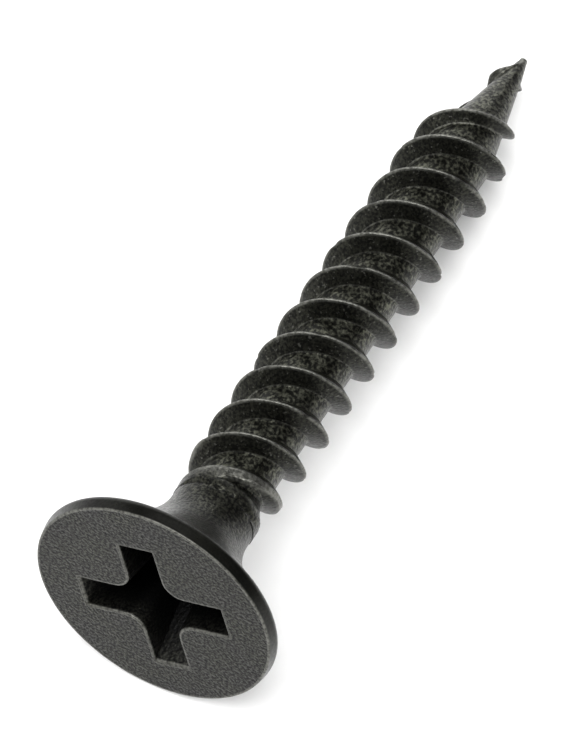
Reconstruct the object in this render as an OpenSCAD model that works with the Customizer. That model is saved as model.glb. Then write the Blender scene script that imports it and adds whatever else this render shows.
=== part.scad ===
// Drywall screw with a bugle head, a cross recess and a coarse twin-start thread.
// It is drawn along its own axis, with the head's face at 0 and the point upwards, and then laid down as it
// comes to rest: on the rim of its head and on the last full crest of its thread, with the point towards +X.

/* [Head] */
// Diameter of the head
head_d = 8.2; // [7.8:0.1:8.6]
// How much smaller the radius of the flat face is than the head's
face_inset = 0.1; // [0.08:0.01:0.2]
// Distance from the head's face to where it is widest
rim_axial = 0.365; // [0.3:0.005:0.45]
// Radius of the round at the back of the rim
rim_r = 0.225; // [0.15:0.005:0.3]
// Length from the head's face to the plain neck
flare_end = 3.7; // [3.2:0.1:3.8]
// Hollowness of the bugle flare, where 1 is a plain cone
flare_hollow = 2; // [1:0.1:2.4]

/* [Neck] */
// Diameter of the plain neck
neck_d = 2.8; // [2.6:0.05:3]
// Diameter of the collar between the neck and the thread
collar_d = 2.84; // [2.8:0.02:3.1]
// Length of the collar
collar_len = 0.25; // [0.1:0.05:0.4]
// Length over which the collar runs down to the root of the thread
collar_run = 0.65; // [0.3:0.05:1]

/* [Thread] */
// Length of the screw, from the head's face to its tip
screw_len = 25; // [20:1:35]
// Diameter over the crests
crest_d = 3.42; // [3.2:0.02:3.6]
// Diameter of the root
root_d = 2.24; // [2:0.02:2.5]
// Advance of each thread in a full turn
lead = 3.05; // [2.6:0.05:3.4]
// Width of the crest, along the axis
crest_w = 0.06; // [0.04:0.01:0.12]
// Length of the flank that faces the head, along the axis
head_flank = 0.33; // [0.25:0.01:0.5]
// Length of the flank that faces the tip, along the axis
tip_flank = 0.47; // [0.25:0.01:0.6]
// Where the first of the two threads starts, from the head's face
first_start = 4.1; // [4:0.1:5]
// Length over which the first thread grows to its full height
first_run_in = 2.3; // [0.4:0.1:3]
// Where the second thread starts, from the head's face
second_start = 4.7; // [4.1:0.1:5]
// Length over which the second thread grows to its full height
second_run_in = 1; // [0.4:0.1:2]
// Turn of the first thread's crest about the axis, from the side that lies down
thread_turn = 2; // [0:1:359]

/* [Point] */
// Length over which the root tapers to the tip
point_len = 4.5; // [4:0.1:6]
// Length over which the crests taper to the tip
crest_taper = 4.7; // [4:0.1:6]
// Angle by which the last turn is unwound, because the thread stretches towards the tip
point_unwind = 32; // [0:1:60]
// Distance from the tip at which the first thread has run out
first_end = 2.6; // [1.5:0.1:3.5]
// Length over which the first thread fades out
run_out = 0.8; // [0.4:0.1:1.5]
// Diameter of the blunt tip
tip_d = 0.24; // [0.2:0.02:0.4]

/* [Recess] */
// Distance from the axis to the end of each wing of the cross, at the head's face
wing_reach = 2.55; // [2.3:0.05:2.7]
// Width of each wing at the head's face
wing_w = 1.2; // [1:0.05:1.4]
// Radius of the corner between two wings, at the head's face
corner_r = 0.66; // [0.4:0.02:0.8]
// Depth of the wings
wing_depth = 2.1; // [1.8:0.1:2.2]
// Slope of the wings' ends, in degrees from the axis
wing_slope = 26.5; // [20:0.5:28]
// Slope of the wings' sides, in degrees from the axis
side_slope = 4; // [1:0.5:6]
// Depth of the dimple under the wings
dimple_depth = 0.5; // [0.3:0.1:0.7]
// Turn of the cross about the axis, from the side that lies down
cross_turn = 72; // [0:1:89]
// Shift of the recess off the axis, towards the side that lies down
recess_down = 0.135; // [-0.2:0.005:0.2]
// Shift of the recess off the axis, to the right when one looks at the face
recess_right = 0.031; // [-0.2:0.001:0.2]

/* [Hidden] */

head_r = head_d / 2;
face_r = head_r - face_inset;
neck_r = neck_d / 2;
collar_r = collar_d / 2;
root_r = root_d / 2;
crest_r = crest_d / 2;
tip_r = tip_d / 2;
full_height = crest_r - root_r;
pitch = lead / 2;

// The head's outline leaves the flat face in a small corner round. Its wall leans out to the rim, which is an
// arc about its own middle. Two of the arc's angles are near the screw's lean, and become its lowest and
// highest points.
corner_round = 0.05;
corner_angles = [-90, -65, -40, -15];
rim_angles = [-15, -7, 0, 7, 18, 29, 40, 50];
rim_mid = head_r - rim_r;
rim_back = rim_angles[len(rim_angles) - 1];
flare_start = rim_axial + rim_r * sin(rim_back);
flare_r = rim_mid + rim_r * cos(rim_back);
flare_steps = 14;

// The turned part ends in a flat just before the first thread. The threaded shank starts inside it, and is a
// little slimmer there.
turned_end = first_start - 0.1;
shank_start = turned_end - 0.4;
shank_gap = 0.02;

// Points around and along the threaded shank.
turn_steps = 24;
flank_steps = 3;
root_steps = 5;
rings = ceil((screw_len - shank_start) / (lead / turn_steps));

// Angles that each part of a thread takes up in a section across the axis.
crest_turn = 360 * crest_w / lead;
head_turn = 360 * head_flank / lead;
tip_turn = 360 * tip_flank / lead;
root_turn = 180 - crest_turn - head_turn - tip_turn;

// Near the tip the crests follow these pairs of distance from the tip and radius. The last turn is unwound
// between the two distances from the tip in the second line.
tip_crests = [[2.55, 1.06], [1.9, 0.68], [1.1, 0.68], [0.65, 0.37]];
unwind_range = [2.3, 1.1];

// The cross narrows to this outline at the depth of its wings. It is cut from a little above the head's face.
floor_reach = wing_reach - wing_depth * tan(wing_slope);
floor_half = wing_w / 2 - wing_depth * tan(side_slope);
floor_corner = corner_r * floor_half / (wing_w / 2);
cut_above = 0.2;

// The dimple is a blunt cone. Its mouth lies within the four corners, and it starts inside the wings' depth.
dimple_r = floor_half * 1.3;
dimple_tip_r = 0.1;
dimple_lap = 0.1;

// The screw lies on its rim and on one crest. It leans until no crest is below the line between them.
low_crests = [
    for (k = [ceil(first_start / pitch) + 1 : floor(screw_len / pitch)])
        k * pitch - thread_turn / 360 * lead
];
tilt = min([for (s = low_crests) lean(s, crest_line(s))]);
lift = rim_mid * cos(tilt) + rim_axial * sin(tilt) + rim_r;
back_x = -face_r * sin(tilt);
front_x = screw_len * cos(tilt) + tip_r * sin(tilt);

// Lean of the axis, in degrees, when the rim and a crest of radius r at distance s both touch the surface.
function lean(s, r) =
    atan2(rim_mid - r, s - rim_axial) + asin(rim_r / norm([s - rim_axial, rim_mid - r]));

// How far s has come on its way from a to b, from 0 to 1.
function share(s, a, b) = max(0, min(1, (s - a) / (b - a)));

// Radius of the root at distance s from the head's face.
function root_line(s) = lookup(s, [
    [turned_end, neck_r - shank_gap],
    [first_start, collar_r],
    [first_start + collar_len, collar_r],
    [first_start + collar_len + collar_run, root_r],
    [screw_len - point_len, root_r],
    [screw_len, tip_r]
]);

// Radius of the crests at distance s, where nothing cuts them off.
function crest_line(s) = lookup(s, concat(
    [[screw_len - crest_taper, crest_r]],
    [for (knee = tip_crests) [screw_len - knee[0], knee[1]]],
    [[screw_len, tip_r]]
));

// Radius at which a thread that starts at a distance is cut off while it grows.
function cap(s, start, run_in) = collar_r + (crest_r - collar_r) * share(s, start, start + run_in);

// The first thread sinks into the root before the tip.
function first_crest(s) =
    let (end = screw_len - first_end, r = root_line(s))
    r + max(0, crest_line(s) - r) * (1 - share(s, end - run_out, end));

// Angle of the first thread's crest at distance s.
function crest_angle(s) =
    let (a = screw_len - unwind_range[0], b = screw_len - unwind_range[1])
    thread_turn + 360 * s / lead - point_unwind * share(s, a, b);

// Radius at a step down the flank of a ridge. The ridge is given as its crest's radius and its cap.
function flank_r(r, ridge, step) = max(r, min(ridge[1], ridge[0] - full_height * step / flank_steps));

// Half a section across the shank, as pairs of angle and radius. It goes down one ridge on the side that
// faces the head, along the root, and up the other side of the next ridge.
function half_section(turn, r, ridge, next) = [
    for (i = [0 : flank_steps])
        [turn + crest_turn / 2 + head_turn * i / flank_steps, flank_r(r, ridge, i)],
    for (i = [1 : root_steps - 1])
        [turn + crest_turn / 2 + head_turn + root_turn * i / root_steps, r],
    for (i = [flank_steps : -1 : 0])
        [turn + 180 - crest_turn / 2 - tip_turn * i / flank_steps, flank_r(r, next, i)]
];

// A whole section at distance s, as points around the axis.
function section(s) =
    let (
        turn = crest_angle(s),
        r = root_line(s),
        first = [first_crest(s), cap(s, first_start, first_run_in)],
        second = [crest_line(s), cap(s, second_start, second_run_in)],
        pairs = concat(
            half_section(turn, r, first, second),
            half_section(turn + 180, r, second, first)
        )
    )
    [for (p = pairs) [p[1] * cos(p[0]), p[1] * sin(p[0]), s]];

// Outline of the cross: reach and half width of its wings, and the radius of the corners between them.
function cross_outline(reach, half_w, corner, z) = [
    for (quarter = [0 : 3])
        let (c = half_w + corner)
        for (p = concat(
            [[reach, -half_w], [reach, half_w]],
            [for (a = [-90 : -15 : -180]) [c + corner * cos(a), c + corner * sin(a)]]
        ))
            [
                p[0] * cos(90 * quarter) - p[1] * sin(90 * quarter),
                p[0] * sin(90 * quarter) + p[1] * cos(90 * quarter),
                z
            ]
];

// A closed solid through level rings about the axis, which hold equally many points and are listed upwards.
// Each of its two ends is a fan of triangles around a point on the axis.
module loft(rings_of_points) {
    n = len(rings_of_points[0]);
    top = len(rings_of_points) - 1;
    low_centre = (top + 1) * n;
    high_centre = low_centre + 1;
    sides = [
        for (k = [0 : top - 1])
            for (j = [0 : n - 1])
                let (a = k * n + j, b = k * n + (j + 1) % n)
                each [[a, a + n, b], [b, a + n, b + n]]
    ];
    low_end = [for (j = [0 : n - 1]) [low_centre, j, (j + 1) % n]];
    high_end = [for (j = [0 : n - 1]) [high_centre, top * n + (j + 1) % n, top * n + j]];
    polyhedron(
        points = concat(
            [for (ring = rings_of_points) each ring],
            [[0, 0, rings_of_points[0][0][2]], [0, 0, rings_of_points[top][0][2]]]
        ),
        faces = concat(low_end, sides, high_end),
        convexity = 10
    );
}

// Head, flare and plain neck, turned about the axis.
module turned_part() {
    corner = [
        for (a = corner_angles)
            [face_r + corner_round * cos(a), corner_round + corner_round * sin(a)]
    ];
    rim = [
        for (a = rim_angles)
            [rim_mid + rim_r * cos(a), rim_axial + rim_r * sin(a)]
    ];
    flare = [
        for (i = [1 : flare_steps])
            let (t = i / flare_steps)
            [
                neck_r + (flare_r - neck_r) * pow(1 - t, flare_hollow),
                flare_start + (flare_end - flare_start) * t
            ]
    ];
    rotate_extrude($fn = 96)
        polygon(concat([[0, 0]], corner, rim, flare, [[neck_r, turned_end], [0, turned_end]]));
}

// Root, both threads and the point.
module threaded_part() {
    loft([
        for (k = [0 : rings])
            section(shank_start + (screw_len - shank_start) * k / rings)
    ]);
}

// Recess for a cross-shaped driver, with a dimple at its bottom.
module recess() {
    translate([recess_down, -recess_right, 0]) rotate([0, 0, cross_turn]) {
        loft([
            cross_outline(
                wing_reach + cut_above * tan(wing_slope),
                wing_w / 2 + cut_above * tan(side_slope),
                corner_r,
                -cut_above
            ),
            cross_outline(floor_reach, floor_half, floor_corner, wing_depth)
        ]);
        translate([0, 0, wing_depth - dimple_lap])
            cylinder(r1 = dimple_r, r2 = dimple_tip_r, h = dimple_depth + dimple_lap, $fn = 48);
    }
}

module screw() {
    color("#4b4c48")
        translate([-(back_x + front_x) / 2, 0, lift])
            rotate([0, 90 + tilt, 0])
                difference() {
                    union() {
                        turned_part();
                        threaded_part();
                    }
                    recess();
                }
}

screw();
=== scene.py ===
# %% [markdown]
# # A drywall screw
#
# This notebook dresses one steel drywall screw. The real thing is made from a single wire: a press forms the
# bugle head and its cross recess, two dies roll the coarse double thread, and a bath turns the steel black.
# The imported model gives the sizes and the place, so the new mesh is built to the same few measures.

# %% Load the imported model
import math

import bmesh
import bpy
from mathutils import Matrix, Vector
from mathutils.noise import noise


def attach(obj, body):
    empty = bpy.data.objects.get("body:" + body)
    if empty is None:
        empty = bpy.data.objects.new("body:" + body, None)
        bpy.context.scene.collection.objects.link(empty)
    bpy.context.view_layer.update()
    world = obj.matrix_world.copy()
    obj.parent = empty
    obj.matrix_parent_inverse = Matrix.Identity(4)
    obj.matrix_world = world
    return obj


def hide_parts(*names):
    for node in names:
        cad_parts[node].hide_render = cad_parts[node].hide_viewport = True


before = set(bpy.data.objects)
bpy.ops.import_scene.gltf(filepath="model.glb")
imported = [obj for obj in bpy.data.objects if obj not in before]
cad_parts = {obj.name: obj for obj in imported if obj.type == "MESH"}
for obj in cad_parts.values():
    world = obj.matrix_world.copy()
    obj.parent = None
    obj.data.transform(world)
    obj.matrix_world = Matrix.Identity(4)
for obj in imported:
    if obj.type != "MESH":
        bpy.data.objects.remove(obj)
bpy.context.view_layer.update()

MM = 0.001
TURN = 2 * math.pi


# %% [markdown]
# ## The measures
#
# A screw is drawn best along its own axis. Here the head's face is at height 0 and the point is up, in
# millimetres. One Blender unit stands for one millimetre until the mesh is finished, because merging and
# bevelling are coarse tools at the size of a real screw.

# %% Sizes of the screw, in millimetres
HEAD_R = 4.1
FACE_R = 4.0
CORNER_ROUND = 0.05
# Behind the corner the rim leans outwards, then it turns over in a round and hands over to the flare.
RIM_R = 0.225
RIM_AXIAL = 0.365
RIM_MID = HEAD_R - RIM_R
RIM_LEAN = math.radians(15)
RIM_BACK = math.radians(50)
# With a hollow of 1 the flare would be a plain cone.
FLARE_END = 3.7
FLARE_HOLLOW = 2
NECK_R = 1.4
LENGTH = 25
# Two threads wind side by side, so one lead is two pitches.
CREST_R = 1.71
ROOT_R = 1.12
LEAD = 3.05
PITCH = LEAD / 2
CREST_W = 0.06
HEAD_FLANK = 0.33
TIP_FLANK = 0.47
THREAD_TURN = math.radians(2)

print("ratio of length to head:", round(LENGTH / (2 * HEAD_R), 3))

# %% [markdown]
# ## Helpers for working by hand
#
# Every operator acts on what is selected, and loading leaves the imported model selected, so each step starts
# from nothing selected. A profile is drawn the way one draws it by hand: one vertex is extruded from point to
# point. Where a sweep meets itself, the doubled vertices are welded.

# %% Selecting, drawing and welding
WELD = 0.001


def only(piece):
    """Selects one object and nothing else."""
    bpy.ops.object.select_all(action="DESELECT")
    piece.select_set(True)
    bpy.context.view_layer.objects.active = piece


def pick(piece, kind, test):
    """In edit mode, selects the verts, edges or faces that pass the test, and returns how many."""
    mesh = bmesh.from_edit_mesh(piece.data)
    bpy.context.tool_settings.mesh_select_mode = (kind == "verts", kind == "edges", kind == "faces")
    for group in (mesh.verts, mesh.edges, mesh.faces):
        for item in group:
            item.select = False
    chosen = [item for item in getattr(mesh, kind) if test(item)]
    for item in chosen:
        item.select_set(True)
    mesh.select_flush_mode()
    bmesh.update_edit_mesh(piece.data)
    return len(chosen)


def draw(name, points):
    """Draws a chain of edges in the XZ plane, from (radius, height) points."""
    bpy.ops.object.select_all(action="DESELECT")
    bpy.ops.mesh.primitive_plane_add(size=1)
    piece = bpy.context.object
    piece.name = name
    bpy.context.tool_settings.mesh_select_mode = (True, False, False)
    bpy.ops.object.mode_set(mode="EDIT")
    bpy.ops.mesh.merge(type="CENTER")
    here = Vector((0, 0, 0))
    for number, (radius, height) in enumerate(points):
        there = Vector((radius, 0, height))
        if number == 0:
            bpy.ops.transform.translate(value=there - here)
        else:
            bpy.ops.mesh.extrude_region_move(TRANSFORM_OT_translate={"value": there - here})
        here = there
    bpy.ops.object.mode_set(mode="OBJECT")
    return piece


def weld():
    """In edit mode, merges vertices that lie on each other and turns every face outwards."""
    bpy.ops.mesh.select_all(action="SELECT")
    bpy.ops.mesh.remove_doubles(threshold=WELD)
    bpy.ops.mesh.normals_make_consistent(inside=False)


def apply_modifiers(piece):
    """Applies every modifier of a piece, from the first to the last."""
    only(piece)
    for modifier in list(piece.modifiers):
        bpy.ops.object.modifier_apply(modifier=modifier.name)


print("selected after loading:", len(bpy.context.selected_objects))

# %% [markdown]
# ## The head and the neck
#
# The head's face is flat up to a small round corner. The rim widens a little behind it, turns over, and the
# flare hollows in like a bugle until it reaches the neck. All of that is round, so one half of its outline is
# drawn and spun about the axis, as a lathe would do.

# %% Outline of the head
SPIN_STEPS = 96
CORNER_STEPS = 5
RIM_STEPS = 8
FLARE_STEPS = 24
WALL_OUT = 0.006
WALL_UP = 0.035
NECK_CUT = 3.9


def arc(mid_r, mid_height, radius, start, end, steps):
    """Points of a round, as (radius, height), from one angle to another."""
    angles = [start + (end - start) * step / steps for step in range(steps + 1)]
    return [(mid_r + radius * math.cos(angle), mid_height + radius * math.sin(angle)) for angle in angles]


def head_outline():
    """Points from the middle of the face over the rim and the flare to the neck."""
    points = [(0, 0)]
    points += arc(FACE_R, CORNER_ROUND, CORNER_ROUND, -math.pi / 2, -RIM_LEAN, CORNER_STEPS)
    corner_r, corner_height = points[-1]
    points.append((corner_r + WALL_OUT, corner_height + WALL_UP))
    points += arc(RIM_MID, RIM_AXIAL, RIM_R, -RIM_LEAN, RIM_BACK, RIM_STEPS)
    flare_r, flare_start = points[-1]
    for step in range(1, FLARE_STEPS + 1):
        share = step / FLARE_STEPS
        radius = NECK_R + (flare_r - NECK_R) * (1 - share) ** FLARE_HOLLOW
        points.append((radius, flare_start + (FLARE_END - flare_start) * share))
    points.append((NECK_R, NECK_CUT))
    return points


print("outline of the head:", len(head_outline()), "points")

# %% Draw it and spin it
FLAT = 0.0001


def level_with_face(face):
    """True for a mesh face whose middle is level with the face of the head."""
    return abs(face.calc_center_median().z) < FLAT


head = draw("head", head_outline())
bpy.ops.object.mode_set(mode="EDIT")
bpy.ops.mesh.select_all(action="SELECT")
bpy.ops.mesh.spin(steps=SPIN_STEPS, angle=TURN, center=(0, 0, 0), axis=(0, 0, 1))
weld()
pick(head, "faces", level_with_face)
bpy.ops.mesh.dissolve_faces()
bpy.ops.object.mode_set(mode="OBJECT")

print("head and neck:", len(head.data.polygons), "faces")

# %% [markdown]
# ## The cross recess
#
# A punch forms the recess, so the punch is modelled and taken away from the head. It starts as a cube with
# four sides pulled out into wings. The corners between the wings are rounded, the bottom is drawn in, and a
# cone makes the dimple at the end.

# %% Pull the wings out of a cube
WING_REACH = 2.55
WING_HALF = 0.6
WING_DEPTH = 2.1
WING_SLOPE = math.radians(26.5)
SIDE_SLOPE = math.radians(4)
PUNCH_ABOVE = 0.2
FLOOR_REACH = WING_REACH - WING_DEPTH * math.tan(WING_SLOPE)
FLOOR_HALF = WING_HALF - WING_DEPTH * math.tan(SIDE_SLOPE)
TOP_REACH = WING_REACH + PUNCH_ABOVE * math.tan(WING_SLOPE)
TOP_HALF = WING_HALF + PUNCH_ABOVE * math.tan(SIDE_SLOPE)
LEVEL = 0.999

bpy.ops.object.select_all(action="DESELECT")
bpy.ops.mesh.primitive_cube_add(size=1, location=(0, 0, (WING_DEPTH - PUNCH_ABOVE) / 2))
punch = bpy.context.object
punch.name = "punch"
punch.scale = (2 * TOP_HALF, 2 * TOP_HALF, WING_DEPTH + PUNCH_ABOVE)
bpy.ops.object.transform_apply(location=True, rotation=False, scale=True)
bpy.ops.object.mode_set(mode="EDIT")
for x, y in ((1, 0), (0, 1), (-1, 0), (0, -1)):
    way = Vector((x, y, 0))
    side = way * TOP_HALF
    pick(punch, "faces", lambda face: (face.calc_center_median() - side).xy.length < WELD)
    bpy.ops.mesh.extrude_region_move(TRANSFORM_OT_translate={"value": way * (TOP_REACH - TOP_HALF)})
ends = pick(punch, "faces", lambda face: abs(face.normal.z) > LEVEL)
bpy.ops.mesh.dissolve_faces()

print("faces merged into two crosses:", ends)

# %% Round its inner corners and draw in its bottom
CORNER_R = 0.66
CORNER_SEGMENTS = 8


def inner_corner(edge):
    """True for the four upright edges where two wings meet."""
    a, b = (vertex.co for vertex in edge.verts)
    upright = abs(a.x - b.x) < WELD and abs(a.y - b.y) < WELD
    return upright and max(abs(a.x), abs(a.y)) < TOP_HALF + WELD


corners = pick(punch, "edges", inner_corner)
bpy.ops.mesh.bevel(
    offset=CORNER_R, offset_type="OFFSET", segments=CORNER_SEGMENTS, affect="EDGES", clamp_overlap=False
)

squeeze = FLOOR_HALF / TOP_HALF
pick(punch, "verts", lambda vertex: vertex.co.z > WING_DEPTH - WELD)
bpy.ops.transform.resize(value=(squeeze, squeeze, 1), center_override=(0, 0, 0))
shorten = FLOOR_REACH / (TOP_REACH * squeeze)
for axis in (0, 1):
    end = TOP_REACH * squeeze - WELD
    pick(punch, "verts", lambda vertex: vertex.co.z > WING_DEPTH - WELD and abs(vertex.co[axis]) > end)
    value = [1, 1, 1]
    value[axis] = shorten
    bpy.ops.transform.resize(value=value, center_override=(0, 0, 0))
bpy.ops.object.mode_set(mode="OBJECT")

print("inner corners rounded:", corners)

# %% Add the dimple and turn the punch
DIMPLE_DEPTH = 0.5
DIMPLE_R = 1.3 * FLOOR_HALF
DIMPLE_TIP = 0.1
DIMPLE_LAP = 0.1
DIMPLE_SIDES = 48
CROSS_TURN = math.radians(72)
RECESS_OFF = (0.135, -0.031)

bpy.ops.object.select_all(action="DESELECT")
bpy.ops.mesh.primitive_cone_add(
    vertices=DIMPLE_SIDES,
    radius1=DIMPLE_R,
    radius2=DIMPLE_TIP,
    depth=DIMPLE_DEPTH + DIMPLE_LAP,
    location=(0, 0, WING_DEPTH + (DIMPLE_DEPTH - DIMPLE_LAP) / 2),
)
dimple = bpy.context.object
union = punch.modifiers.new("dimple", "BOOLEAN")
union.operation = "UNION"
union.object = dimple
apply_modifiers(punch)
bpy.data.objects.remove(dimple)
punch.rotation_euler.z = CROSS_TURN
punch.location = (*RECESS_OFF, 0)
bpy.ops.object.transform_apply(location=True, rotation=True, scale=False)

print("punch:", len(punch.data.polygons), "faces")

# %% [markdown]
# ## Press the recess and soften its edges
#
# The punch is subtracted from the head. It came down a little beside the axis. Pressed metal is drawn down
# around the punch, so the edges of the mouth get a small round that catches the light.

# %% Cut the recess
MOUTH_ROUND = 0.05
MOUTH_SEGMENTS = 3
MOUTH_REACH = 0.8 * HEAD_R

cut = head.modifiers.new("recess", "BOOLEAN")
cut.operation = "DIFFERENCE"
cut.solver = "EXACT"
cut.object = punch
apply_modifiers(head)
bpy.data.objects.remove(punch)


def from_axis(place):
    """Distance of a place from the axis of the screw."""
    return math.hypot(place.x, place.y)


def mouth_edge(edge):
    """True for an edge between the flat face and a wall of the recess."""
    if len(edge.link_faces) != 2:
        return False
    flats = [abs(face.normal.z) > LEVEL and level_with_face(face) for face in edge.link_faces]
    middle = (edge.verts[0].co + edge.verts[1].co) / 2
    return flats[0] != flats[1] and from_axis(middle) < MOUTH_REACH


bpy.ops.object.mode_set(mode="EDIT")
edges = pick(head, "edges", mouth_edge)
bpy.ops.mesh.bevel(offset=MOUTH_ROUND, segments=MOUTH_SEGMENTS, affect="EDGES", clamp_overlap=True)

print("recess:", edges, "edges softened")

# %% [markdown]
# ## Loops for later
#
# Wear and painted highlights will be painted on vertices, and a large face has none inside. Two insets give
# the flat face two narrow borders along its corner and along the mouth, so what is painted on an edge fades
# out close to it. The vertices between the two borders are kept in a group: that line is the burr the press
# leaves, and it gets a painted highlight. Level cuts give the walls of the recess their vertices.

# %% Add borders to the face and cuts to the walls
BORDER = 0.025
FADE = 0.02
WALL_CUTS = (0.1, 0.4, 0.75)
WALL_REACH = 0.7 * HEAD_R
WALL_AREA = 0.01


def flat_face(face):
    """True for the flat face of the head."""
    return face.normal.z < -LEVEL and level_with_face(face)


def recess_wall(face):
    """True for a wall of the recess under the round of its mouth."""
    middle = face.calc_center_median()
    return from_axis(middle) < WALL_REACH and middle.z > MOUTH_ROUND and face.calc_area() > WALL_AREA


pick(head, "faces", flat_face)
bpy.ops.mesh.inset(thickness=BORDER, use_boundary=True)
head.vertex_groups.new(name="burr")
bpy.ops.object.vertex_group_assign()
bpy.ops.mesh.inset(thickness=FADE, use_boundary=True)
bpy.ops.object.vertex_group_remove_from()
for height in WALL_CUTS:
    pick(head, "faces", recess_wall)
    bpy.ops.mesh.bisect(plane_co=(0, 0, height), plane_no=(0, 0, 1))
bpy.ops.object.mode_set(mode="OBJECT")

print("head with borders:", len(head.data.polygons), "faces")

# %% [markdown]
# ## The thread
#
# Two equal ridges wind side by side, so one full turn lifts the pattern by two ridges. Drawing both ridges
# and both roots once and sweeping that line with a Screw modifier gives the whole surface, ridges and shank
# in one skin, and each turn welds to the last.

# %% Outline of one lead
FOOT_ROUND = 0.06
FOOT_RISE = 0.015
FOOT_STEP = 0.01
FLANK_SHARES = (0.12, 0.35, 0.6, 0.85)
CREST_ROUND = 0.018
CREST_CUT = 0.3 * CREST_ROUND
CREST_EASE = 0.004
ROOT_PARTS = 4


def ridge(middle):
    """Points of one ridge and the root after it. The flank that faces the head comes first."""
    low = middle - CREST_W / 2
    high = middle + CREST_W / 2
    foot_low = low - HEAD_FLANK
    foot_high = high + TIP_FLANK
    height = CREST_R - ROOT_R
    points = [(ROOT_R, foot_low - FOOT_ROUND), (ROOT_R + FOOT_RISE, foot_low + FOOT_STEP)]
    for share in FLANK_SHARES:
        points.append((ROOT_R + height * share, foot_low + HEAD_FLANK * share))
    points += [
        (CREST_R - CREST_ROUND, low - CREST_EASE),
        (CREST_R - CREST_CUT, low + CREST_CUT),
        (CREST_R, low + CREST_ROUND),
        (CREST_R, high - CREST_ROUND),
        (CREST_R - CREST_CUT, high - CREST_CUT),
        (CREST_R - CREST_ROUND, high + CREST_EASE),
    ]
    for share in reversed(FLANK_SHARES):
        points.append((ROOT_R + height * share, foot_high - TIP_FLANK * share))
    points += [(ROOT_R + FOOT_RISE, foot_high - FOOT_STEP), (ROOT_R, foot_high + FOOT_ROUND)]
    root_end = middle + PITCH - CREST_W / 2 - HEAD_FLANK - FOOT_ROUND
    root_start = foot_high + FOOT_ROUND
    for step in range(1, ROOT_PARTS):
        points.append((ROOT_R, root_start + (root_end - root_start) * step / ROOT_PARTS))
    return points


print("one ridge:", len(ridge(0)), "points")

# %% Draw one lead and sweep it
TURNS = 9
SWEEP_START = THREAD_TURN / TURN * LEAD

first_crest = -SWEEP_START
outline = ridge(first_crest) + ridge(first_crest + PITCH)
outline.append((ROOT_R, outline[0][1] + LEAD))
thread = draw("thread", outline)
sweep = thread.modifiers.new("sweep", "SCREW")
sweep.axis = "Z"
sweep.angle = TURN
sweep.screw_offset = LEAD
sweep.iterations = TURNS
sweep.steps = SPIN_STEPS
sweep.render_steps = SPIN_STEPS
sweep.use_smooth_shade = True
apply_modifiers(thread)
bpy.ops.object.mode_set(mode="EDIT")
weld()
bpy.ops.object.mode_set(mode="OBJECT")

print("swept thread:", len(thread.data.polygons), "faces")

# %% [markdown]
# ## Neck, ends of the thread and point
#
# The dies leave a faint collar where the neck meets the thread. The ridges grow out of it and die away near
# the point, which is a cone. A low ridge keeps its sharp flanks and is only narrower, as a worn hill of sand
# is. Two Cast modifiers do this: one pulls the surface out to the neck, the other pulls it in. Each has a
# vertex group that says how strongly, and its weights are painted here by place, in place of a brush.

# %% Lines that the root and the crest follow
COLLAR_R = 1.42
TIP_R = 0.12
ROOT_LINE = (
    (NECK_CUT, NECK_R), (4.0, 1.33), (4.13, COLLAR_R), (4.35, COLLAR_R), (4.57, 1.28), (4.8, 1.15),
    (5.0, ROOT_R), (LENGTH - 4.5, ROOT_R), (LENGTH - 0.7, 0.3), (LENGTH, TIP_R),
)
CREST_LINE = (
    (LENGTH - 4.7, CREST_R), (LENGTH - 2.55, 1.06), (LENGTH - 1.9, 0.68), (LENGTH - 1.45, 0.65),
    (LENGTH - 1.1, 0.68), (LENGTH - 0.9, 0.56), (LENGTH - 0.65, 0.37), (LENGTH - 0.4, 0.28), (LENGTH, TIP_R),
)
FIRST_GROWS = ((4.1, COLLAR_R), (6.4, CREST_R))
SECOND_GROWS = ((4.7, COLLAR_R), (5.7, CREST_R))
# The first thread runs out before the tip, and comes back as a low ridge beside it.
FIRST_RUN_OUT = (LENGTH - 2.6 - 0.8, LENGTH - 2.6)
LOW_RIDGE = 0.4
LOW_RIDGE_RISE = (LENGTH - 1.7, LENGTH - 1.2)


def between(value, low, high):
    """Share of the way from low to high, from 0 to 1."""
    return max(0.0, min(1.0, (value - low) / (high - low)))


def along(line, height):
    """Radius of a line of (height, radius) corners at a height."""
    for (low, start), (high, end) in zip(line, line[1:]):
        if height < high:
            return start + (end - start) * between(height, low, high)
    return line[-1][1]


def on_first_thread(place):
    """True where the nearest crest belongs to the first thread."""
    angle = math.atan2(place.y, place.x) - THREAD_TURN - TURN * place.z / LEAD
    return math.cos(angle) > 0


def grown(place):
    """Radius that the nearest ridge has reached as it grows out of the collar."""
    return along(FIRST_GROWS if on_first_thread(place) else SECOND_GROWS, place.z)


def ridge_share(place):
    """How much of its full height a ridge has at a place near the point, from 0 to 1."""
    if not on_first_thread(place):
        return 1.0
    return max(1 - between(place.z, *FIRST_RUN_OUT), LOW_RIDGE * between(place.z, *LOW_RIDGE_RISE))


print("crest and root at half length:", along(CREST_LINE, LENGTH / 2), along(ROOT_LINE, LENGTH / 2))

# %% [markdown]
# ## Small faults of rolling
#
# Rolled crests are never quite even: they wander by a few hundredths of a millimetre and carry nicks from
# the barrel that the screws tumble in. Smooth noise gives the wander, and its highest peaks give the nicks.

# %% Pull the surface to those lines
CREST_WANDER = 0.018
WANDER_SCALE = 1.1
NICK_DEPTH = 0.05
NICK_SCALE = 2.3
NICK_SHIFT = Vector((7, 3, 5))
NICK_PEAKS = (0.32, 0.6)
FAULTS_FROM = ROOT_R + 0.3
OUTER = 1.5
INNER = 0.1


def fault(place):
    """Depth that is missing from a crest at a place, in millimetres."""
    slow = 0.5 + 0.5 * noise(place * WANDER_SCALE)
    quick = noise(place * NICK_SCALE + NICK_SHIFT)
    return CREST_WANDER * slow + NICK_DEPTH * between(quick, *NICK_PEAKS)


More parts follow.
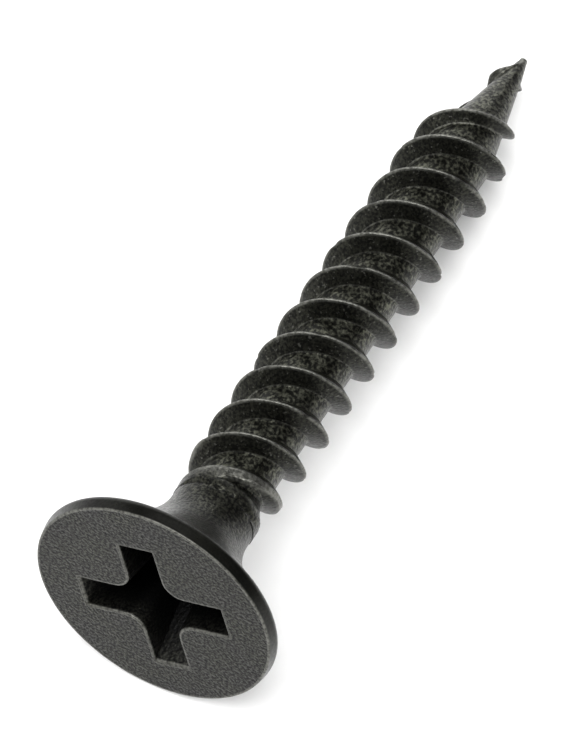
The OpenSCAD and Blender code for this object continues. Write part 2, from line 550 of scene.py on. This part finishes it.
def wanted_radius(place):
    """Radius that a place of the swept thread should have."""
    radius = from_axis(place)
    root = along(ROOT_LINE, place.z)
    crest = root + ridge_share(place) * max(0.0, along(CREST_LINE, place.z) - root)
    if radius > FAULTS_FROM:
        crest -= fault(place) * between(radius, FAULTS_FROM, CREST_R)
    return max(root, min(grown(place), crest - (CREST_R - radius)))


def outwards(place):
    """Pull towards the outer cylinder that brings a place out to the root."""
    radius = from_axis(place)
    return (along(ROOT_LINE, place.z) - radius) / (OUTER - radius) if radius < OUTER else 0


def inwards(place):
    """Pull towards the inner cylinder that brings a place to the radius it should have."""
    radius = from_axis(place)
    return (radius - wanted_radius(place)) / (radius - INNER)


def pull(piece, name, size, weight_of):
    """Pulls a piece towards a cylinder of that radius, where the painted weight is above zero."""
    group = piece.vertex_groups.new(name=name)
    pulled = 0
    for vertex in piece.data.vertices:
        weight = weight_of(vertex.co)
        if weight > 0:
            group.add([vertex.index], min(weight, 1.0), "REPLACE")
            pulled += 1
    cast = piece.modifiers.new(name, "CAST")
    cast.cast_type = "CYLINDER"
    cast.use_z = False
    cast.factor = 1
    cast.radius = 0
    cast.use_radius_as_size = False
    cast.size = size
    cast.vertex_group = name
    apply_modifiers(piece)
    piece.vertex_groups.clear()
    return pulled


print("vertices pulled in:", pull(thread, "inwards", INNER, inwards))
print("vertices pulled out:", pull(thread, "outwards", OUTER, outwards))

# %% [markdown]
# ## Where the thread stretches
#
# The dies draw the steel out at the point and let it in slowly at the collar, so the thread is a little
# steeper there than on the shank. A Twist that acts only between two heights unwinds it. The modifier counts
# its turn from height 0, so the side that has to stay is turned back afterwards.

# %% Unwind both ends a little
# The turn, the heights it acts between, and the height that stays where it was: at the point and the collar.
STRETCHES = (
    (math.radians(-32), LENGTH - 2.3, LENGTH - 1.1, LENGTH - 2.3),
    (math.radians(10), 5.0, 6.6, 6.6),
)


def unwind(piece, angle, start, end, keep):
    """Twists a piece between two heights and leaves the part at the height to keep where it was."""
    heights = [vertex.co.z for vertex in piece.data.vertices]
    low, high = min(heights), max(heights)
    twist = piece.modifiers.new("unwind", "SIMPLE_DEFORM")
    twist.deform_method = "TWIST"
    twist.deform_axis = "Z"
    twist.angle = angle
    twist.limits = ((start - low) / (high - low), (end - low) / (high - low))
    apply_modifiers(piece)
    piece.rotation_euler.z = -angle * keep / (end - start)
    bpy.ops.object.transform_apply(location=False, rotation=True, scale=False)


for stretch in STRETCHES:
    unwind(thread, *stretch)

heights = [round(vertex.co.z, 2) for vertex in thread.data.vertices]
print("thread from", min(heights), "to", max(heights), "before the trim")

# %% [markdown]
# ## One piece of steel
#
# The sweep is longer than the screw at both ends, so it is cut off square at the neck and at the tip. The two
# open rims at the neck have equally many points, which a bridge closes without a seam. The tip is blunt on a
# real screw too, and gets a small round.

# %% Trim both ends and join the thread to the head
TIP_ROUND = 0.08
TIP_SEGMENTS = 2
NEAR_CUT = 0.01

bpy.ops.object.mode_set(mode="EDIT")
for height, away in ((NECK_CUT, -1), (LENGTH, 1)):
    bpy.ops.mesh.select_all(action="SELECT")
    bpy.ops.mesh.bisect(
        plane_co=(0, 0, height),
        plane_no=(0, 0, away),
        clear_outer=True,
        use_fill=away > 0,
    )
pick(thread, "edges", lambda edge: min(vertex.co.z for vertex in edge.verts) > LENGTH - WELD)
bpy.ops.mesh.bevel(offset=TIP_ROUND, segments=TIP_SEGMENTS, affect="EDGES", clamp_overlap=True)
bpy.ops.object.mode_set(mode="OBJECT")

only(head)
thread.select_set(True)
bpy.ops.object.join()
screw = head
screw.name = "screw_body"
bpy.ops.object.mode_set(mode="EDIT")
pick(screw, "edges", lambda edge: edge.is_boundary and abs(edge.verts[0].co.z - NECK_CUT) < NEAR_CUT)
bpy.ops.mesh.bridge_edge_loops()
weld()
bpy.ops.object.mode_set(mode="OBJECT")

print("whole screw:", len(screw.data.polygons), "faces")

# %% [markdown]
# ## Where the steel gets rubbed, and where light and shade are painted
#
# Screws rub against each other in the box, so the coating is thin on every edge that stands proud: the
# crests, the corner of the head and the mouth of the recess. These edges also carry a painted highlight, and
# the recess gets painted shade that deepens inwards. All of these follow the shape, so each is painted on the
# vertices as an attribute, while the screw still stands upright.

# %% Rub and painted highlight on the edges
# The edges below get a lighter colour, partly for wear and partly as a painted highlight.
CORNER_RUB_AND_HIGHLIGHT = 0.8
CORNER_OUT = 0.02
CORNER_FADE = (0.02, 0.05)
CORNER_BACK = (0.02, 0.06)
CREST_FADE = (0.02, 0.07)
RIDGE_STANDS = (COLLAR_R + 0.01, COLLAR_R + 0.08)
ALL_GROWN = 7
POINT_RUB = 0.15
POINT_REACH = (LENGTH - 4, LENGTH - 2)
BURR_RUB_AND_HIGHLIGHT = 0.6
MOUTH_DEEP = 1.5 * MOUTH_ROUND
UPRIGHT = 0.05
LYING = 0.995


def edge_rub_and_highlight(place):
    """How much the coating is rubbed at a place, and how strong the painted highlight there is, from 0 to 1.
    """
    radius = from_axis(place)
    if place.z < NECK_CUT:
        corner = 1 - between(abs(radius - FACE_R - CORNER_OUT), *CORNER_FADE)
        return CORNER_RUB_AND_HIGHLIGHT * corner * (1 - between(place.z, *CORNER_BACK))
    crest = min(along(CREST_LINE, place.z), grown(place))
    stands_out = between(crest, *RIDGE_STANDS) if place.z < ALL_GROWN else 1
    point = POINT_RUB * between(place.z, *POINT_REACH)
    return max(point, stands_out * (1 - between(crest - radius, *CREST_FADE)))


def burr_rub_and_highlight(vertex):
    """Rub and painted highlight on the burr and on the round of the mouth, the only slope so near to the face
    and the axis.
    """
    near_mouth = from_axis(vertex.co) < MOUTH_REACH and vertex.co.z < MOUTH_DEEP
    on_round = near_mouth and UPRIGHT < abs(vertex.normal.z) < LYING
    return BURR_RUB_AND_HIGHLIGHT if any(vertex.groups) or on_round else 0.0


print("rub on the corner:", round(edge_rub_and_highlight(Vector((FACE_R, 0, 0))), 2))

# %% Painted shade in the recess
RECESS_BOTTOM = WING_DEPTH + DIMPLE_DEPTH + 0.1
RECESS_CONE_R = 2.8
RECESS_CONE_SLOPE = 0.45
# Painted shade: the recess is coloured darker the deeper a place lies in it.
RECESS_SHADE_DEPTHS = (0.1, 1.1)


def recess_shade_depth(place):
    """How deep a place lies in the recess, from 0 at the mouth to 1."""
    radius = math.hypot(place.x - RECESS_OFF[0], place.y - RECESS_OFF[1])
    in_recess = place.z < RECESS_BOTTOM and radius < RECESS_CONE_R - RECESS_CONE_SLOPE * place.z
    return between(place.z, *RECESS_SHADE_DEPTHS) if in_recess else 0.0


print("oil in the dimple:", recess_shade_depth(Vector((*RECESS_OFF, WING_DEPTH))))

# %% [markdown]
# ## Where the dies leave it rough or smooth
#
# The roots of the thread stay rough, and a die leaves its flanks and the wall of the rim smooth. Those smooth
# places are also given a darker colour as painted shade. How far a place stands over the root is painted in
# millimetres. That number climbs evenly up a flank, so the material can draw a sharp border at any height
# with only a few vertices.

# %% Height over the root, and the forged skin with its painted shade
OFF_THREAD = -0.3
THREAD_BEGINS = (NECK_CUT + 0.7, NECK_CUT + 1.1)
FACE_DEPTH = 0.1
FACE_INSET = 0.02
FORGED_ENDS = (NECK_CUT, NECK_CUT + 0.4)
FLARE_INSET = (0.3, 0.55)
FLARE_LOSS = 0.75


def root_height(place):
    """How far a place stands out over the root of the thread. On the head and the neck it is set below 0."""
    threaded = between(place.z, *THREAD_BEGINS)
    over_root = from_axis(place) - along(ROOT_LINE, place.z)
    return threaded * over_root + (1 - threaded) * OFF_THREAD


def forged_and_shaded(place):
    """How smooth the forging die left a place, and how much painted shade darkens it: 1 on the wall of the
    rim, less on the flare, 0 elsewhere.
    """
    radius = from_axis(place)
    if place.z < FACE_DEPTH and radius < FACE_R - FACE_INSET:
        return 0.0
    on_head = 1 - between(place.z, *FORGED_ENDS)
    return on_head * (1 - FLARE_LOSS * between(FACE_R - radius, *FLARE_INSET))


print("crest over root in mm:", round(root_height(Vector((CREST_R, 0, LENGTH / 2))), 2))

# %% Paint these facts on the vertices
def paint(piece, name, value_of):
    """Stores a value per vertex under a name, and returns how many vertices got more than a half."""
    layer = piece.data.attributes.new(name, "FLOAT", "POINT")
    for vertex in piece.data.vertices:
        layer.data[vertex.index].value = value_of(vertex)
    return sum(1 for item in layer.data if item.value > 0.5)


only(screw)
print("rubbed:", paint(screw, "rub_and_highlight", lambda vertex: max(edge_rub_and_highlight(vertex.co), burr_rub_and_highlight(vertex))))
print("recess_shaded:", paint(screw, "recess_shade", lambda vertex: recess_shade_depth(vertex.co)))
print("well over the root:", paint(screw, "over_root", lambda vertex: root_height(vertex.co)))
print("smooth:", paint(screw, "forged_and_shaded", lambda vertex: forged_and_shaded(vertex.co)))

# %% [markdown]
# ## Lay the screw down
#
# A screw on a table lies on the rim of its head and on one crest of its thread, so its axis dips a little
# towards the point. The turn, the move and the step from millimetres to metres are applied to the mesh, and
# the object itself ends at the origin.

# %% Place it in the frame
LAST_FULL_CREST = 13
SMOOTH_ANGLE = math.radians(38)
CONTACT = LAST_FULL_CREST * PITCH - SWEEP_START
REACH = math.hypot(CONTACT - RIM_AXIAL, RIM_MID - CREST_R)
LEAN = math.atan2(RIM_MID - CREST_R, CONTACT - RIM_AXIAL) + math.asin(RIM_R / REACH)
LIFT = RIM_MID * math.cos(LEAN) + RIM_AXIAL * math.sin(LEAN) + RIM_R
BACK_X = -FACE_R * math.sin(LEAN)
FRONT_X = LENGTH * math.cos(LEAN) + TIP_R * math.sin(LEAN)
LAID_DOWN = (0, math.pi / 2 + LEAN, 0)
face_centre = Vector((-(BACK_X + FRONT_X) / 2, 0, LIFT)) * MM

only(screw)
screw.scale = (MM, MM, MM)
screw.rotation_euler = LAID_DOWN
screw.location = face_centre
bpy.ops.object.transform_apply(location=True, rotation=True, scale=True)
bpy.ops.object.shade_smooth_by_angle(angle=SMOOTH_ANGLE)

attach(screw, "root")
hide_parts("screw")

print("lean in degrees:", round(math.degrees(LEAN), 3))

# %% [markdown]
# ## One grain for steel and paper
#
# Phosphate is a skin of tiny crystals, and paper is a felt of tiny fibres. Both are a fine noise on top of a
# slow one, so both materials share one node group. It puts out a fine mask, a slow mask and a height, and
# each material decides what to do with them.

# %% Node helpers and the grain group
FINE_DETAIL = 2.0
SLOW_DETAIL = 3.0
GRAIN_ROUGH = 0.55
GRAIN_SPREAD = (0.28, 0.72)


def wire(tree, source, target):
    """Links one socket to another."""
    tree.links.new(source, target)


def math_node(tree, kind, first, second):
    """Adds a math node. Each input is a socket or a number."""
    node = tree.nodes.new("ShaderNodeMath")
    node.operation = kind
    for slot, value in enumerate((first, second)):
        if isinstance(value, (int, float)):
            node.inputs[slot].default_value = value
        else:
            wire(tree, value, node.inputs[slot])
    return node.outputs[0]


def ramp(tree, mask, low, high, out_low=0.0, out_high=1.0):
    """Maps a mask from low..high to out_low..out_high, and holds it at both ends."""
    node = tree.nodes.new("ShaderNodeMapRange")
    wire(tree, mask, node.inputs["Value"])
    for name, value in (("From Min", low), ("From Max", high), ("To Min", out_low), ("To Max", out_high)):
        node.inputs[name].default_value = value
    return node.outputs["Result"]


def make_grain():
    """Builds the group. Its two sizes are the width of one fine and of one slow spot."""
    tree = bpy.data.node_groups.new("fine_grain", "ShaderNodeTree")
    tree.interface.new_socket(name="Vector", in_out="INPUT", socket_type="NodeSocketVector")
    for name in ("Fine size", "Slow size"):
        tree.interface.new_socket(name=name, in_out="INPUT", socket_type="NodeSocketFloat")
    for name in ("Fine", "Slow", "Height"):
        tree.interface.new_socket(name=name, in_out="OUTPUT", socket_type="NodeSocketFloat")
    start = tree.nodes.new("NodeGroupInput")
    end = tree.nodes.new("NodeGroupOutput")
    for name, detail in (("Fine", FINE_DETAIL), ("Slow", SLOW_DETAIL)):
        pattern = tree.nodes.new("ShaderNodeTexNoise")
        pattern.inputs["Detail"].default_value = detail
        pattern.inputs["Roughness"].default_value = GRAIN_ROUGH
        wire(tree, start.outputs["Vector"], pattern.inputs["Vector"])
        scale = math_node(tree, "DIVIDE", 1.0, start.outputs[name + " size"])
        wire(tree, scale, pattern.inputs["Scale"])
        wire(tree, ramp(tree, pattern.outputs["Fac"], *GRAIN_SPREAD), end.inputs[name])
        if name == "Fine":
            wire(tree, pattern.outputs["Fac"], end.inputs["Height"])
    return tree


grain_group = make_grain()


def grain(tree, vector, fine_size, slow_size):
    """Places the grain group in a material, with the sizes of its fine and its slow pattern."""
    node = tree.nodes.new("ShaderNodeGroup")
    node.node_tree = grain_group
    node.inputs["Fine size"].default_value = fine_size
    node.inputs["Slow size"].default_value = slow_size
    wire(tree, vector, node.inputs["Vector"])
    return node.outputs


print("grain group sockets:", [item.name for item in grain_group.interface.items_tree])

# %% [markdown]
# ## Black phosphate
#
# The finish is grey-black crystals under a film of oil. It hardly scatters light, so what one sees is a soft
# and dark reflection, broken up by the crystals: each reflects more or less than the next. A dark metal does
# exactly that, and its base colour is how much it reflects. A mapping node stands the pattern upright in
# millimetres again, as the screw was drawn.

# %% Start the material and give it coordinates
def mix(tree, share, low, high):
    """Mixes two colours by a mask. Each colour is a socket or a triple."""
    node = tree.nodes.new("ShaderNodeMix")
    node.data_type = "RGBA"
    wire(tree, share, node.inputs["Factor"])
    for name, value in (("A", low), ("B", high)):
        socket = next(item for item in node.inputs if item.name == name and item.type == "RGBA")
        if isinstance(value, tuple):
            socket.default_value = (*value, 1)
        else:
            wire(tree, value, socket)
    return next(item for item in node.outputs if item.type == "RGBA")


def blend(tree, share, low, high):
    """Blends two numbers by a mask."""
    node = tree.nodes.new("ShaderNodeMix")
    wire(tree, share, node.inputs["Factor"])
    for name, source in (("A", low), ("B", high)):
        wire(tree, source, next(item for item in node.inputs if item.name == name and item.type == "VALUE"))
    return next(item for item in node.outputs if item.type == "VALUE")


def painted(tree, name):
    """The mask that was painted on the vertices under a name."""
    node = tree.nodes.new("ShaderNodeAttribute")
    node.attribute_name = name
    return node.outputs["Fac"]


steel = bpy.data.materials.new("black_phosphate")
steel.use_nodes = True
tree = steel.node_tree
shader = tree.nodes["Principled BSDF"]
coords = tree.nodes.new("ShaderNodeTexCoord")
mapping = tree.nodes.new("ShaderNodeMapping")
mapping.vector_type = "TEXTURE"
mapping.inputs["Location"].default_value = face_centre
mapping.inputs["Rotation"].default_value = LAID_DOWN
mapping.inputs["Scale"].default_value = (MM, MM, MM)
wire(tree, coords.outputs["Object"], mapping.inputs["Vector"])
upright = mapping.outputs["Vector"]

print("nodes with the coordinates:", len(tree.nodes))

# %% Masks for root, painted foot highlight, flank and chips
SKIN_SIZES = (0.095, 1.4)
ROLLED_SIZES = (0.12, 0.7)
# Heights over the root in millimetres, between which a mask comes in or goes out.
ROOT_OUT = (0.03, 0.06)
FLANK_IN = (0.05, 0.1)
# A painted highlight runs along the foot of each flank, where a small round would catch the light.
FOOT_HIGHLIGHT_IN = (0.01, 0.03)
FOOT_HIGHLIGHT_OUT = (0.05, 0.07)
FOOT_HIGHLIGHT = 0.45
FLANK_SMOOTH_AND_SHADE = 0.55
# Only the highest spots of the grain chip off, and only by half.
CHIP_SPOTS = (0.8, 1.0)
CHIP_RUB = 0.5

skin = grain(tree, upright, *SKIN_SIZES)
rolled = grain(tree, upright, *ROLLED_SIZES)
over_root = painted(tree, "over_root")
recess_shade = painted(tree, "recess_shade")
root = ramp(tree, math_node(tree, "ABSOLUTE", over_root, 0.0), *ROOT_OUT, 1.0, 0.0)
flank = ramp(tree, over_root, *FLANK_IN)
chips = math_node(tree, "MULTIPLY", flank, ramp(tree, rolled["Fine"], *CHIP_SPOTS, 0.0, CHIP_RUB))
# Painted highlight along the foot of the flanks.
foot_highlight_start = ramp(tree, over_root, *FOOT_HIGHLIGHT_IN)
foot_highlight = math_node(tree, "MULTIPLY", foot_highlight_start, ramp(tree, over_root, *FOOT_HIGHLIGHT_OUT, FOOT_HIGHLIGHT, 0.0))
# The flanks count partly as smooth, so they take a painted shade as well as less bump.
pressed_and_shaded = math_node(tree, "MULTIPLY", flank, FLANK_SMOOTH_AND_SHADE)
smooth_and_shaded = math_node(tree, "MAXIMUM", painted(tree, "forged_and_shaded"), pressed_and_shaded)

print("nodes with the masks:", len(tree.nodes))

# %% [markdown]
# ## Light and dark crystals
#
# One mask after the other says how much a spot reflects: strong spots in the roots, fine ones on the face,
# faint and darker ones, a painted shade, where the steel is smooth, and slow clouds over all. Olive and violet
# tint the crystals, mostly on the head. Rubbed steel and the painted highlights are lighter, and painted shade
# blackens the recess.

# %% Base colour
OLIVE = (0.0182, 0.0186, 0.0138)
VIOLET = (0.018, 0.0174, 0.0172)
# Lighter steel on rubbed edges, which also serves as a painted highlight.
BARE_AND_HIGHLIGHT = (0.15, 0.15, 0.135)
# Colour of the painted shade deep in the recess.
RECESS_SHADE = (0.015, 0.015, 0.0155)
WHOLE = (0.0, 1.0)
# Each pair of spots is a stretch of the grain, and the pair of gains is what it becomes.
FACE_SPOTS, FACE_GAIN = (0.3, 0.8), (0.0, 2.2)
# Smooth places get fainter and darker spots: less grain, and a painted shade on the rim wall and the flanks.
WALL_SPOTS, WALL_SHADE_GAIN = (0.1, 0.9), (0.35, 0.75)
ROOT_SPOTS, ROOT_GAIN = (0.35, 0.95), (0.35, 5.6)
CLOUD_GAIN = (0.75, 1.2)
RUB_SPOTS, RUB_SHARE = (0.2, 0.7), (0.35, 1.0)
HEAD_DEPTH = (0.0, 0.8)
VIOLET_SHARE = (1.0, 0.2)

face_gain = ramp(tree, skin["Fine"], *FACE_SPOTS, *FACE_GAIN)
wall_shade_gain = ramp(tree, skin["Fine"], *WALL_SPOTS, *WALL_SHADE_GAIN)
root_gain = ramp(tree, rolled["Fine"], *ROOT_SPOTS, *ROOT_GAIN)
even_gain = blend(tree, root, blend(tree, smooth_and_shaded, face_gain, wall_shade_gain), root_gain)
gain = math_node(tree, "MULTIPLY", even_gain, ramp(tree, rolled["Slow"], *WHOLE, *CLOUD_GAIN))

split = tree.nodes.new("ShaderNodeSeparateXYZ")
wire(tree, upright, split.inputs["Vector"])
on_head = ramp(tree, split.outputs["Z"], *HEAD_DEPTH, *VIOLET_SHARE)
clouds = mix(tree, math_node(tree, "MULTIPLY", skin["Slow"], on_head), OLIVE, VIOLET)
crystals = tree.nodes.new("ShaderNodeVectorMath")
crystals.operation = "SCALE"
wire(tree, clouds, crystals.inputs["Vector"])
wire(tree, gain, crystals.inputs["Scale"])

# Rubbed edges, the painted foot highlight and the chips are lighter; on the edges this is partly wear and
# partly a painted highlight.
rub_and_highlight = math_node(tree, "MAXIMUM", painted(tree, "rub_and_highlight"), math_node(tree, "MAXIMUM", foot_highlight, chips))
patchy = math_node(tree, "MULTIPLY", rub_and_highlight, ramp(tree, rolled["Fine"], *RUB_SPOTS, *RUB_SHARE))
worn_and_highlit = mix(tree, patchy, crystals.outputs["Vector"], BARE_AND_HIGHLIGHT)
# Painted shade darkens the recess towards its bottom.
wire(tree, mix(tree, recess_shade, worn_and_highlit, RECESS_SHADE), shader.inputs["Base Color"])

print("nodes with the colour:", len(tree.nodes))

# %% Roughness, metal and bump
METAL = 0.85
SPOT_ROUGH = (0.42, 0.28)
CLOUD_ROUGH = (-0.04, 0.04)
GRAIN_HEIGHT = 0.024 * MM
BUMP_STRENGTH = (1.0, 0.2)
THREAD_EDGE = 0.5 * OFF_THREAD

gloss = ramp(tree, skin["Fine"], *WHOLE, *SPOT_ROUGH)
dulled = math_node(tree, "ADD", gloss, ramp(tree, skin["Slow"], *WHOLE, *CLOUD_ROUGH))
wire(tree, dulled, shader.inputs["Roughness"])
# In the painted shade of the recess the steel turns fully metal, so it scatters no light.
wire(tree, ramp(tree, recess_shade, *WHOLE, METAL, 1.0), shader.inputs["Metallic"])

bump = tree.nodes.new("ShaderNodeBump")
wire(tree, ramp(tree, smooth_and_shaded, *WHOLE, *BUMP_STRENGTH), bump.inputs["Strength"])
bump.inputs["Distance"].default_value = GRAIN_HEIGHT
on_thread = ramp(tree, over_root, THREAD_EDGE, 0.0)
wire(tree, blend(tree, on_thread, skin["Height"], rolled["Height"]), bump.inputs["Height"])
wire(tree, bump.outputs["Normal"], shader.inputs["Normal"])

screw.data.materials.clear()
screw.data.materials.append(steel)
print("grain height in mm:", round(GRAIN_HEIGHT / MM, 3))

# %% [markdown]
# ## A sheet of paper
#
# The screw lies on plain white paper. It reflects the paper all over, so the paper has to be there and be
# bright. The same grain, far larger and very weak, keeps it from looking like a flat colour.

# %% Lay the paper down
PAPER_SIDE = 3
FELT_SIZES = (0.0006, 0.02)
PAPER_DIM = (0.9, 0.9, 0.895)
PAPER_BRIGHT = (0.93, 0.93, 0.93)
PAPER_ROUGH = 0.9
PAPER_GLOSS = 0.2

bpy.ops.object.select_all(action="DESELECT")
bpy.ops.mesh.primitive_plane_add(size=PAPER_SIDE)
floor = bpy.context.object
floor.name = "floor"
paper = bpy.data.materials.new("pale_paper")
paper.use_nodes = True
tree = paper.node_tree
shader = tree.nodes["Principled BSDF"]
coords = tree.nodes.new("ShaderNodeTexCoord")
felt = grain(tree, coords.outputs["Object"], *FELT_SIZES)
fibres = math_node(tree, "MULTIPLY", felt["Fine"], felt["Slow"])
wire(tree, mix(tree, fibres, PAPER_DIM, PAPER_BRIGHT), shader.inputs["Base Color"])
shader.inputs["Roughness"].default_value = PAPER_ROUGH
shader.inputs["Specular IOR Level"].default_value = PAPER_GLOSS
floor.data.materials.append(paper)

print("paper:", round(floor.dimensions.x, 2), "m wide")

# %% [markdown]
# ## Camera
#
# The photograph looks down at the head from its left, through a long lens. These angles, the distance and the
# point aimed at were found by laying the model's outline over the photograph.

# %% Place the camera
CAMERA_TURN = math.radians(28)
CAMERA_RISE = math.radians(58.22)
CAMERA_AWAY = 356.5 * MM
AIM_RIGHT = 3.966 * MM
AIM_UP = 6.972 * MM
FRAME_PX = 753
SCALE_PX = 11647
SENSOR = 36

right = Vector((math.sin(CAMERA_TURN), -math.cos(CAMERA_TURN), 0))
back = Vector((
    -math.cos(CAMERA_TURN) * math.cos(CAMERA_RISE),
    -math.sin(CAMERA_TURN) * math.cos(CAMERA_RISE),
    math.sin(CAMERA_RISE),
))
up = back.cross(right)
stand = face_centre + right * AIM_RIGHT + up * AIM_UP + back * CAMERA_AWAY
bpy.ops.object.camera_add()
camera = bpy.context.object
camera.data.sensor_width = SENSOR
camera.data.lens = SCALE_PX * SENSOR / FRAME_PX
camera.matrix_world = Matrix.Translation(stand) @ Matrix((right, up, back)).transposed().to_4x4()
bpy.context.scene.camera = camera

print("lens in mm:", round(camera.data.lens, 1))

# %% [markdown]
# ## Light
#
# A glossy black thing shows its surroundings, so the light is set by what each side of the screw should
# mirror. A large softbox above lights the paper, which the head's face reflects. Strips low on the left and
# behind draw the left edges. A small one in front and a faint one at the back right show the right ends of the
# ridges, and the rest of that side stays dark, which keeps the wall of the rim nearly black.

# %% Hang the softboxes
LIGHT_AWAY = 0.6
ROOM_GLOW = 0.01
# Name, turn and rise in degrees, width and height in metres, and watts. The turn is counted from straight
# behind the screw, to the left, as the camera sees it.
SOFTBOXES = (
    ("overhead", 140, 72, 0.6, 0.6, 6.2),
    ("low_left", 90, 24, 0.7, 0.4, 1.6),
    ("behind", 5, 20, 0.75, 0.35, 2.3),
    ("front", 215, 45, 0.4, 0.3, 1.6),
    ("back_right", 310, 45, 0.3, 0.3, 0.3),
)


def softbox(name, turn, rise, width, height, watts):
    """Hangs a softbox that faces the screw."""
    turn = math.radians(turn) + CAMERA_TURN
    rise = math.radians(rise)
    way = Vector((math.cos(turn) * math.cos(rise), math.sin(turn) * math.cos(rise), math.sin(rise)))
    bpy.ops.object.light_add(type="AREA", location=way * LIGHT_AWAY)
    light = bpy.context.object
    light.name = name
    light.data.shape = "RECTANGLE"
    light.data.size = width
    light.data.size_y = height
    light.data.energy = watts
    light.rotation_euler = way.to_track_quat("Z", "Y").to_euler()


for box in SOFTBOXES:
    softbox(*box)

world = bpy.data.worlds.new("dark_room")
bpy.context.scene.world = world
world.use_nodes = True
glow = world.node_tree.nodes["Background"]
glow.inputs["Color"].default_value = (1, 1, 1, 1)
glow.inputs["Strength"].default_value = ROOM_GLOW
bpy.context.scene.view_settings.view_transform = "Standard"
